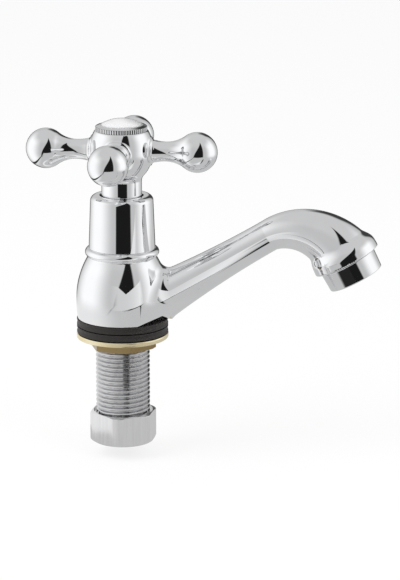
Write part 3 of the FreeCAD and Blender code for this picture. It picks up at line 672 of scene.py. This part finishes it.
def coupling_form(x, y, z):
    distance = np.hypot(x, y)
    top_corner = (coupling_corner_r, coupling_top - coupling_top_chamfer)
    bottom_corner = (coupling_corner_r, coupling_bottom + coupling_chamfer)
    above = chamfer(distance, z, (coupling_face_r, coupling_top), top_corner)
    below = chamfer(distance, z, (coupling_face_r, coupling_bottom), bottom_corner)
    flats = hexagon_form(x, y, coupling_width, coupling_turn)
    flats = trim(flats, distance - coupling_corner_r, coupling_edge)
    ends = np.maximum.reduce([above, below, z - coupling_top, coupling_bottom - z])
    whole = trim(flats, ends, coupling_edge)
    mouth_bottom, past_top = coupling_top - coupling_mouth_depth, coupling_top + cut_margin
    hollows = [
        rod(distance, z, coupling_mouth_r, mouth_bottom, past_top),
        rod(distance, z, thread_r + running_gap, coupling_bottom + coupling_lip, past_top),
        rod(distance, z, coupling_hole_r, coupling_bottom - cut_margin, coupling_top),
    ]
    return hollowed(whole, hollows)


nut_plating = finish(
    "nut_plating", dark=(0.8, 0.8, 0.81), light=(0.86, 0.86, 0.87), roughness=(0.14, 0.2),
    patch=500.0, grain=1400.0, relief=0.2, depth=0.02, stretch=(2.2, 2.2, 0.1),
)
coupling_room = (-13.8, -13.8, -50.0), (13.8, 13.8, -36.9)
cast(
    "chrome_coupling_nut", coupling_form, coupling_room, nut_step,
    "coupling", "nut_plating", ["coupling_nut"], nut_plating,
)


# ---- Shroud ---------------------------------------------------------------------
# Tapered cover spun from brass sheet and chrome plated, pushed over the headgear.
# It stands on the body's rim, with a round top edge and a hole that the handle turns in.

shroud_inset = 0.25
shroud_draw = 0.8
shroud_height = 20.6
shroud_wall = 1.25
shroud_roof = 1.8
shroud_foot_edge = 0.18
shroud_edge_r = 2.2
shroud_hole_r = 8.35
shroud_hole_edge = 0.3
shroud_inner_edge = 0.1
shroud_bottom_r = neck_r - shroud_inset
shroud_top_r = shroud_bottom_r - shroud_draw
shroud_top = rim_height + shroud_height
shroud_ceiling = shroud_top - shroud_roof
shroud_outline = eased([
    (shroud_bottom_r, rim_height, shroud_foot_edge), (shroud_top_r, shroud_top, shroud_edge_r),
    (shroud_hole_r, shroud_top, shroud_hole_edge), (shroud_hole_r, shroud_ceiling, shroud_inner_edge),
    (shroud_top_r - shroud_wall, shroud_ceiling, 0),
    (shroud_bottom_r - shroud_wall, rim_height, shroud_inner_edge),
], steps=12)
cover_chrome = chrome("cover_chrome")
show("polished_shroud", *turn_up(shroud_outline), "tap", "cover_chrome", ["shroud"], cover_chrome)


# ---- Cross handle --------------------------------------------------------------
# Hub, neck and four waisted arms that end in balls, cast in one and chrome plated.
# It sits on the spindle's square and is held by a screw under its cap.

handle_bottom = 45.2
handle_neck_r = 7.75
handle_neck_length = 10.1
hub_r = 12.3
hub_rise = 10.5
hub_crown_rise = 7.9
hub_shoulder_r = 10.2
arm_foot_r = 5.2
arm_foot_reach = 11.6
arm_root_r = 4.25
arm_root_reach = 13.2
arm_waist_r = 3.78
arm_waist_reach = 17.3
ball_r = 7.75
ball_reach = 29.3
neck_overlap = 2.0
neck_round = 0.8
arm_round = 0.9
handle_edge = 0.3
pocket_r = 7.45
pocket_depth = 9.9
square_half = 3.05
square_top = 61.3
screw_hole_r = 2.25
screw_hole_bottom = 60.0

hub_start = handle_bottom + handle_neck_length
arm_height = hub_start + hub_rise
hub_top = arm_height + hub_crown_rise


def hollow_side(reach, distance, low_reach, low_r, arc):
    """Distance outside a rod whose side is a hollow arc, lowest at the given place."""
    above = distance - low_r - arc
    return arc - np.hypot(reach - low_reach, np.minimum(above, 0)) + np.maximum(above, 0)


def arm_form(reach, distance):
    """Waisted arm: foot, root and waist are hollow arcs, then the ball."""
    spread = ball_reach - arm_waist_reach
    waist_arc = (spread ** 2 + arm_waist_r ** 2 - ball_r ** 2) / (2 * (ball_r - arm_waist_r))
    touch = ball_reach - spread * ball_r / (ball_r + waist_arc)
    root_arc = arc_r(arm_waist_reach - arm_root_reach, arm_root_r - arm_waist_r)
    foot_arc = arc_r(arm_root_reach - arm_foot_reach, arm_foot_r - arm_root_r)
    foot = hollow_side(reach, distance, arm_root_reach, arm_root_r, foot_arc)
    root = hollow_side(reach, distance, arm_waist_reach, arm_waist_r, root_arc)
    waist = hollow_side(reach, distance, arm_waist_reach, arm_waist_r, waist_arc)
    ball = np.hypot(reach - ball_reach, distance) - ball_r
    form = np.where(reach < arm_foot_reach, distance - arm_foot_r, foot)
    form = np.where(reach > arm_root_reach, root, form)
    form = np.where(reach > arm_waist_reach, waist, form)
    form = np.where(reach > touch, ball, form)
    return np.maximum(form, -reach)


def handle_form(x, y, z):
    distance = np.hypot(x, y)
    lower_r = arc_r(hub_rise, hub_r - handle_neck_r)
    upper_r = arc_r(hub_crown_rise, hub_r - hub_shoulder_r)
    sweep_r = np.where(z > arm_height, upper_r, lower_r)
    hub = np.hypot(distance - hub_r + sweep_r, z - arm_height) - sweep_r
    hub = np.maximum(hub, hub_start - neck_overlap - z)
    neck = np.maximum(distance - handle_neck_r, z - arm_height)
    whole = melt(hub, neck, neck_round)
    whole = trim(whole, z - hub_top, handle_edge)
    across_x, across_y = np.hypot(y, z - arm_height), np.hypot(x, z - arm_height)
    arms = np.minimum(arm_form(np.abs(x), across_x), arm_form(np.abs(y), across_y))
    whole = melt(whole, arms, arm_round)
    whole = trim(whole, handle_bottom - z, handle_edge)
    hollows = [
        rod(distance, z, pocket_r, hub_top - pocket_depth, hub_top + cut_margin),
        rod(np.maximum(np.abs(x), np.abs(y)), z, square_half, handle_bottom - cut_margin, square_top),
        rod(distance, z, screw_hole_r, screw_hole_bottom, hub_top),
    ]
    return hollowed(whole, hollows)


handle_chrome = chrome("handle_chrome")
handle_room = (-38.0, -38.0, 44.5), (38.0, 38.0, 74.7)
handle_step = 0.4
cast(
    "polished_cross_handle", handle_form, handle_room, handle_step,
    "handle", "handle_chrome", ["cross_handle"], handle_chrome,
)


# ---- Index cap and disc ------------------------------------------------------------
# Reeded chrome cap that presses into the hub over the handle's screw, and the pale
# domed plastic disc set in its recess, which is bare.

cap_r = 9.95
reed_count = 62
reed_depth = 0.28
reed_height = 1.6
cap_bevel_height = 0.5
cap_skirt_length = 5.7
cap_skirt_wall = 1.1
skirt_overlap = 0.5
cap_edge = 0.08
bevel_edge = 0.12
disc_r = 7.6
disc_thickness = 1.2
disc_rise = 0.3
disc_dome = 2.0
cap_rim_top = hub_top + reed_height
cap_top = cap_rim_top + cap_bevel_height
disc_bottom = cap_top + disc_rise - disc_thickness
disc_edge_top = disc_bottom + disc_thickness


def cap_form(x, y, z):
    """Rim with sharp grooves between round reeds, a bevel, a recess for the disc and a hollow skirt."""
    distance = np.hypot(x, y)
    reeds = cap_r - reed_depth * (1 - np.sqrt(np.abs(np.cos(np.arctan2(y, x) * reed_count / 2))))
    recess_r = disc_r + running_gap
    rim = trim(distance - reeds, np.maximum(z - cap_top, hub_top - z), cap_edge)
    bevel = chamfer(distance, z, (recess_r + cap_bevel_height, cap_top), (cap_r - reed_depth, cap_rim_top))
    rim = trim(rim, bevel, bevel_edge)
    skirt_r, skirt_bottom = pocket_r - running_gap, hub_top - cap_skirt_length
    whole = np.minimum(rim, rod(distance, z, skirt_r, skirt_bottom, hub_top + skirt_overlap))
    whole = trim(whole, -rod(distance, z, recess_r, disc_bottom, cap_top + cut_margin), cap_edge)
    return np.maximum(whole, -rod(distance, z, skirt_r - cap_skirt_wall, skirt_bottom - cut_margin, hub_top))


thin_chrome = (0.81, 0.815, 0.825), (0.85, 0.855, 0.865)
# Painted shade: the cap's colour is darkened in the grooves between the reeds, most at their bottoms, and
# only below the rim's top.
groove_painted_shade = (0.12, 0.12, 0.12)
groove_shade_start, groove_shade_full = 0.02, 0.13
groove_bottom_r = cap_r - reed_depth
groove_shade_fade, bevel_shade_fade = (0.1, 0.05), 0.1
cap_chrome = chrome("cap_chrome", *thin_chrome)
darken(
    cap_chrome, groove_painted_shade,
    zone(cap_chrome, "distance", cap_r - groove_shade_start, cap_r - groove_shade_full),
    zone(cap_chrome, "height", cap_rim_top, cap_rim_top - bevel_shade_fade),
    zone(cap_chrome, "distance", groove_bottom_r - groove_shade_fade[0], groove_bottom_r - groove_shade_fade[1]),
)
cap_room = (-10.3, -10.3, 67.6), (10.3, 10.3, 76.2)
cap_step = 0.14
cast("reeded_cap", cap_form, cap_room, cap_step, "handle", "cap_chrome", ["index_cap"], cap_chrome)

disc_outline = [
    straight((0, disc_bottom), (disc_r, disc_bottom)),
    straight((disc_r, disc_bottom), (disc_r, disc_edge_top)),
    bow((disc_r, disc_edge_top), (0, disc_edge_top + disc_dome), arc_r(disc_r, disc_dome)),
]
disc_coat = 0.4
index_plastic = finish(
    "index_plastic", dark=(0.74, 0.74, 0.75), light=(0.8, 0.8, 0.81), roughness=(0.12, 0.2),
    patch=200.0, grain=700.0, relief=0.1, depth=0.02, metal=0.0,
)
index_plastic.node_tree.nodes["Principled BSDF"].inputs["Coat Weight"].default_value = disc_coat
show("domed_disc", *turn_up(disc_outline), "handle", "index_plastic", ["index_disc"], index_plastic)


# ---- Aerator ----------------------------------------------------------------------
# Chrome plated brass ring screwed into the spout's collar, with a step under the collar.
# It holds a moulded insert and a flat screen that break the stream into soft jets.

aerator_end = -7.9
aerator_top = -0.4
aerator_proud = 1.9
aerator_draw = 0.35
aerator_wall = 0.75
aerator_lip = 1.1
aerator_lip_thickness = 1.6
aerator_spigot_length = 4.2
aerator_edge = 0.4
aerator_foot_edge = 0.25
aerator_step_edge = 0.05
aerator_spigot_edge = 0.1
aerator_lip_edge = 0.2
aerator_top_r = aerator_spigot_r + aerator_proud
aerator_end_r = aerator_top_r - aerator_draw
aerator_bore_r = aerator_spigot_r - aerator_wall
aerator_lip_r = aerator_bore_r - aerator_lip
aerator_lip_top = aerator_end + aerator_lip_thickness
aerator_outline = eased([
    (aerator_lip_r, aerator_end, aerator_foot_edge), (aerator_end_r, aerator_end, aerator_edge),
    (aerator_top_r, aerator_top, aerator_edge), (aerator_spigot_r, aerator_top, aerator_step_edge),
    (aerator_spigot_r, aerator_spigot_length, aerator_spigot_edge),
    (aerator_bore_r, aerator_spigot_length, aerator_spigot_edge),
    (aerator_bore_r, aerator_lip_top, 0), (aerator_lip_r, aerator_lip_top, aerator_lip_edge),
], steps=8)


def to_outlet(places):
    """From the outlet's own frame to the tap's."""
    across, side, above = np.asarray(places, float).T
    x = -across * outlet_way.y - above * outlet_way.x
    z = across * outlet_way.x - above * outlet_way.y
    return np.stack([x, side, z], axis=1)


corners, faces, leans = turn_up(aerator_outline)
corners = to_outlet(corners) + np.array([outlet_centre.x, 0, outlet_centre.y])
leans = to_outlet(leans)
aerator_chrome = chrome("aerator_chrome", *thin_chrome)
show("aerator_ring", corners, faces, leans, "tap", "aerator_chrome", ["aerator_housing"], aerator_chrome)


# ---- Pieces inside ------------------------------------------------------------------
# Headgear, spindle, jumper, seals, screw, washers and the aerator's insert and screen.
# They keep their made shapes, with the finish of machined brass, rubber, fibre, plastic or steel.

inner_looks = {
    "valve_brass": dict(
        dark=(0.6, 0.45, 0.2), light=(0.8, 0.66, 0.36), roughness=(0.22, 0.38),
        patch=300.0, grain=1200.0, relief=0.3, depth=0.03, stretch=(0.3, 0.3, 4.0),
    ),
    "seal_rubber": dict(
        dark=(0.02, 0.02, 0.02), light=(0.05, 0.05, 0.05), roughness=(0.35, 0.55),
        patch=400.0, grain=2500.0, relief=0.4, depth=0.03, metal=0.0,
    ),
    "seal_fibre": dict(
        dark=(0.4, 0.1, 0.06), light=(0.58, 0.18, 0.11), roughness=(0.6, 0.8),
        patch=900.0, grain=3000.0, relief=0.6, depth=0.05, metal=0.0,
    ),
    "inner_plastic": dict(
        dark=(0.8, 0.8, 0.78), light=(0.88, 0.88, 0.86), roughness=(0.3, 0.45),
        patch=300.0, grain=1500.0, relief=0.2, depth=0.02, metal=0.0,
    ),
    "small_steel": dict(
        dark=(0.58, 0.58, 0.59), light=(0.7, 0.7, 0.71), roughness=(0.2, 0.34),
        patch=300.0, grain=1800.0, relief=0.3, depth=0.02, stretch=(0.3, 0.3, 3.0),
    ),
}
inner_finishes = {name: finish(name, **look) for name, look in inner_looks.items()}
for piece in frame["record"]["subparts"]:
    if piece["material_slot"] in inner_finishes:
        for holder in frame["nodes"][piece["node"]].material_slots:
            holder.material = inner_finishes[piece["material_slot"]]


# ---- Stage and light -----------------------------------------------------------
# White paper under the tap, in a studio of plain grey with white to the left and to the
# right, and dark gaps behind the camera and behind the tap. Polished chrome shows them all.

floor_height = -0.0552
paper_size = 6.0
paper_white = (0.95, 0.95, 0.95, 1)
paper_roughness = 0.9
paper_glow = 0.8

bpy.ops.mesh.primitive_plane_add(size=paper_size, location=(0, 0, floor_height))
floor = bpy.context.object
floor.name = "floor"
floor.visible_glossy = False
paper, paper_tree, paper_shader = plain_look("paper")
paper_shader.inputs["Base Color"].default_value = paper_white
paper_shader.inputs["Roughness"].default_value = paper_roughness
paper_shader.inputs["Specular IOR Level"].default_value = 0.0
seen = added(paper_tree, "ShaderNodeLightPath", "Is Camera Ray", {})
glow_share = added(paper_tree, "ShaderNodeMath", "Value", {0: seen, 1: paper_glow}, operation="MULTIPLY")
glow = added(paper_tree, "ShaderNodeEmission", "Emission", {})
paper_surface = {0: glow_share, 1: paper_shader.outputs["BSDF"], 2: glow}
glowing = added(paper_tree, "ShaderNodeMixShader", "Shader", paper_surface)
paper_tree.links.new(glowing, paper_tree.nodes["Material Output"].inputs["Surface"])
floor.data.materials.append(paper)

world = bpy.context.scene.world or bpy.data.worlds.new("studio")
bpy.context.scene.world = world
world.use_nodes = True
studio = world.node_tree


def worked(operation, *values):
    """Result of a piece of arithmetic. Each value may be a number or a result."""
    return added(studio, "ShaderNodeMath", "Value", dict(enumerate(values)), operation=operation)


def past(value, edge, soft):
    """From 0 to 1 as the value passes an edge. Either may be a number or a result."""
    return added(studio, "ShaderNodeMapRange", "Result", {
        "Value": worked("SUBTRACT", value, edge), "From Min": -soft, "From Max": soft,
    }, interpolation_type="SMOOTHSTEP")


def between(value, ends, softness):
    """1 where the value lies between two ends, fading over each."""
    return worked("MULTIPLY", past(value, ends[0], softness[0]), past(ends[1], value, softness[1]))


def lit(light, level, share):
    """Light brought towards a level where the share is 1."""
    return added(studio, "ShaderNodeMix", "Result", {"Factor": share, "A": light, "B": level})


# Directions are in degrees. Sideways counts from the camera's side to the right, upwards from level.
front_turn = math.radians(-8.4)
turned = added(studio, "ShaderNodeVectorRotate", "Vector", {
    "Vector": added(studio, "ShaderNodeTexCoord", "Generated", {}), "Angle": front_turn,
}, rotation_type="Z_AXIS")
right, back, up = (added(studio, "ShaderNodeSeparateXYZ", axis, {"Vector": turned}) for axis in "XYZ")
sideways = worked("DEGREES", worked("ARCTAN2", right, worked("MULTIPLY", back, -1.0)))
upwards = worked("DEGREES", worked("ARCSINE", up))

wall, ceiling, table, white, dark, black = 0.6, 0.66, 0.57, 1.15, 0.05, 0.012
table_line, table_soft = -14.0, 9.0
ceiling_line, ceiling_soft = 40.0, 12.0
light = lit(table, wall, past(upwards, table_line, table_soft))
light = lit(light, ceiling, past(upwards, ceiling_line, ceiling_soft))

# Each patch: its level, its two sides and how soft they are, its foot and top and how soft they are.
for level, sides, side_soft, ends, end_soft in (
    (white, (-135.0, -55.0), 30.0, (-60.0, 42.0), 18.0),
    (white, (64.0, 122.0), 20.0, (-22.0, 42.0), 16.0),
    (dark, (150.0, 176.0), 6.0, (0.0, 40.0), 8.0),
):
    wide = between(sideways, sides, (side_soft, side_soft))
    tall = between(upwards, ends, (end_soft, end_soft))
    light = lit(light, level, worked("MULTIPLY", wide, tall))

# Dark gap behind the tap, which gives the chrome its dark outlines.
behind_half, behind_soft = 24.0, 9.0
behind_ends, behind_end_soft = (-40.0, 6.0), (6.0, 8.0)
from_behind = worked("SUBTRACT", 180.0, worked("ABSOLUTE", sideways))
behind_gap = worked(
    "MULTIPLY", past(behind_half, from_behind, behind_soft), between(upwards, behind_ends, behind_end_soft),
)
light = lit(light, dark, behind_gap)

# Black gap behind the camera. Its left side leans and bows, its right side is upright.
gap_left_level, gap_lean, gap_bow = -16.0, 0.47, 0.0035
gap_right, gap_foot = 33.0, -40.0
gap_left_soft, gap_right_soft, gap_foot_soft = 2.0, 3.0, 2.0
bowed = worked("MULTIPLY", worked("POWER", upwards, 2.0), gap_bow)
gap_left = worked("ADD", gap_left_level, worked("ADD", worked("MULTIPLY", upwards, gap_lean), bowed))
gap = between(sideways, (gap_left, gap_right), (gap_left_soft, gap_right_soft))
gap = worked("MULTIPLY", gap, past(upwards, gap_foot, gap_foot_soft))
light = lit(light, black, gap)

camera_ray = added(studio, "ShaderNodeLightPath", "Is Camera Ray", {})
glossy_ray = added(studio, "ShaderNodeLightPath", "Is Glossy Ray", {})
even_light, background_white = 0.75, 1.0
plain = lit(even_light, background_white, camera_ray)
background = studio.nodes["Background"]
background.inputs["Color"].default_value = (1, 1, 1, 1)
studio.links.new(lit(plain, light, glossy_ray), background.inputs["Strength"])


def ramp(tree, place, run):
    """Value along a run: an axis, two places on it in millimetres, and the levels at those places."""
    axis, start, end, low, high = run
    along = added(tree, "ShaderNodeSeparateXYZ", axis, {"Vector": place})
    return added(tree, "ShaderNodeMapRange", "Result", {
        "Value": along, "From Min": start * mm, "From Max": end * mm, "To Min": low, "To Max": high,
    }, interpolation_type="SMOOTHSTEP")


def card(name, panels, level, *fades):
    """Card that only chrome sees. Its light is a level or a run, and each fade is a run that thins it out."""
    mesh = bpy.data.meshes.new(name)
    corners = [Vector(corner) * mm for panel in panels for corner in panel]
    starts = np.cumsum([0] + [len(panel) for panel in panels])
    mesh.from_pydata(corners, [], [list(range(a, b)) for a, b in zip(starts[:-1], starts[1:])])
    piece = bpy.data.objects.new(name, mesh)
    bpy.context.scene.collection.objects.link(piece)
    look, tree, _ = plain_look(name)
    place = added(tree, "ShaderNodeTexCoord", "Object", {})
    strength = level if isinstance(level, float) else ramp(tree, place, level)
    light = added(tree, "ShaderNodeEmission", "Emission", {"Strength": strength})
    clear = added(tree, "ShaderNodeBsdfTransparent", "BSDF", {})
    cover = product(tree, [ramp(tree, place, fade) for fade in fades])
    blend = added(tree, "ShaderNodeMixShader", "Shader", {0: cover, 1: clear, 2: light})
    tree.links.new(blend, tree.nodes["Material Output"].inputs["Surface"])
    mesh.materials.append(look)
    piece.visible_camera = piece.visible_diffuse = piece.visible_shadow = False


# A low white board stands close in front of the tap and follows the rise of the spout.
# Its foot throws a thin dark line.
board_place, board_foot, foot_shadow = -37.0, 1.5, 0.9
board_left, board_right, shadow_left = -12, 92, 5
board_feet = [(board_left, board_foot), (board_right, board_foot)]
board_edge = [(board_right, 66), (60, 42), (43, 31), (11, 15.5), (0, 22), (board_left, 23)]
board_light = ("X", 5, 60, 0.7, 1.02)
board_start, board_end = ("X", board_left, 2, 0, 1), ("X", 40, 58, 1, 0)
line_level = 0.03
line_start, line_end = ("X", shadow_left, 20, 0, 1), ("X", 42, 60, 1, 0)
line_feet = [
    (shadow_left, board_foot - foot_shadow), (board_right, board_foot - foot_shadow),
    (board_right, board_foot), (shadow_left, board_foot),
]
board_corners = [(x, board_place, z) for x, z in board_feet + board_edge]
line_corners = [(x, board_place, z) for x, z in line_feet]
card("board", [board_corners], board_light, board_start, board_end)
card("board_shadow", [line_corners], line_level, line_start, line_end)

# A grey table lies under the tap, square to the camera, with a dark line along its left side.
aligned = Matrix.Rotation(-front_turn, 3, "Z")
table_left, table_right, table_front, table_back = -100.0, 600.0, -360.0, 260.0
table_lift, line_lift = 0.2, 0.1
table_height = floor_height / mm + table_lift
line_height = table_height + line_lift
front_line_width, back_line_width = 7.0, 28.0
table_level, table_line_level = 0.59, 0.05
table_start, table_end = ("X", table_left, -40, 0, 1), ("X", 180, 480, 1, 0)
table_corners = [
    (table_left, table_front), (table_right, table_front),
    (table_right, table_back), (table_left, table_back),
]
table_line_corners = [
    (table_left - front_line_width, table_front), (table_left, table_front),
    (table_left, table_back), (table_left - back_line_width, table_back),
]
table_panel = [aligned @ Vector((x, y, table_height)) for x, y in table_corners]
table_line_panel = [aligned @ Vector((x, y, line_height)) for x, y in table_line_corners]
card("table", [table_panel], table_level, table_start, table_end)
card("table_shadow", [table_line_panel], table_line_level, table_end)


def sweep(radius, sides, foot, top, steps=24):
    """Panels of a round wall about the tap, between two directions from the front and two heights."""
    panels = []
    for step in range(steps):
        angles = [math.radians(sides[0] + (sides[1] - sides[0]) * (step + part) / steps) for part in (0, 1)]
        feet = [(radius * math.sin(angle), -radius * math.cos(angle)) for angle in angles]
        places = [(*feet[0], foot), (*feet[1], foot), (*feet[1], top), (*feet[0], top)]
        panels.append([aligned @ Vector(place) for place in places])
    return panels


# A low round wall, brighter to the left, gives the body's foot and the tail their even grey.
# A dark strip in front of it gives the tail the dark band right of its middle.
sweep_r, sweep_gap, sweep_lift = 43.0, 1.0, 0.5
sweep_foot, sweep_top, sweep_full = floor_height / mm + sweep_lift, 7.0, -6.0
sweep_sides, tail_sides, strip_sides = (-165, 75), (-10, 100), (0, 60)
sweep_light = ("X", -40, 5, 0.92, 0.6)
sweep_rise, sweep_end = ("Z", sweep_full, sweep_top, 1, 0), ("X", 6, 24, 1, 0)
tail_rise = ("Z", -24, -10, 1, 0)
strip_foot, strip_level = -36.0, 0.04
strip_rise, strip_start, strip_end = ("Z", -20, -16, 1, 0), ("X", 3, 12, 0, 1), ("X", 20, 29, 1, 0)
body_wall = sweep(sweep_r, sweep_sides, sweep_foot, sweep_top)
tail_wall = sweep(sweep_r + sweep_gap, tail_sides, sweep_foot, sweep_top)
strip_wall = sweep(sweep_r - sweep_gap, strip_sides, strip_foot, sweep_top)
card("sweep", body_wall, sweep_light, sweep_rise, sweep_end)
card("tail_sweep", tail_wall, sweep_light, tail_rise)
card("sweep_shade", strip_wall, strip_level, strip_rise, strip_start, strip_end)

# A dark card below and in front of the outlet widens the dark band on the aerator.
outlet_card_right, outlet_card_left = Vector((99, -72, 14)), Vector((45, -42, -13))
outlet_card_half, outlet_card_level = 9.0, 0.02
outlet_card_start = ("X", 50, 62, 0, 1)
outlet_rise = Vector((-math.sin(outlet_tilt), 0, math.cos(outlet_tilt))) * outlet_card_half
outlet_corners = [
    outlet_card_left - outlet_rise, outlet_card_right - outlet_rise,
    outlet_card_right + outlet_rise, outlet_card_left + outlet_rise,
]
card("outlet_gap", [outlet_corners], outlet_card_level, outlet_card_start)

lamp_aim = Vector((0.02, 0, 0.01))
for name, place, size, power in (
    ("left_lamp", (-0.7, -0.5, 0.9), 0.8, 7.0),
    ("right_lamp", (0.8, -0.6, 0.5), 0.6, 2.5),
):
    lamp_data = bpy.data.lights.new(name, "AREA")
    lamp_data.size = size
    lamp_data.energy = power
    lamp = bpy.data.objects.new(name, lamp_data)
    lamp.location = place
    lamp.rotation_mode = "QUATERNION"
    lamp.rotation_quaternion = (lamp_aim - Vector(place)).to_track_quat("-Z", "Y")
    lamp.visible_glossy = False
    bpy.context.scene.collection.objects.link(lamp)

camera_place = Vector((0.1864, -1.0583, 0.29175))
camera_aim = Vector((0.02968, 0.00438, 0.0106))
camera_lens = 178.25
camera_data = bpy.data.cameras.new("camera")
camera_data.lens = camera_lens
camera = bpy.data.objects.new("camera", camera_data)
bpy.context.scene.collection.objects.link(camera)
camera.location = camera_place
camera.rotation_mode = "QUATERNION"
camera.rotation_quaternion = (camera_aim - camera_place).to_track_quat("-Z", "Y")
bpy.context.scene.camera = camera
bpy.context.scene.view_settings.view_transform = "Standard"
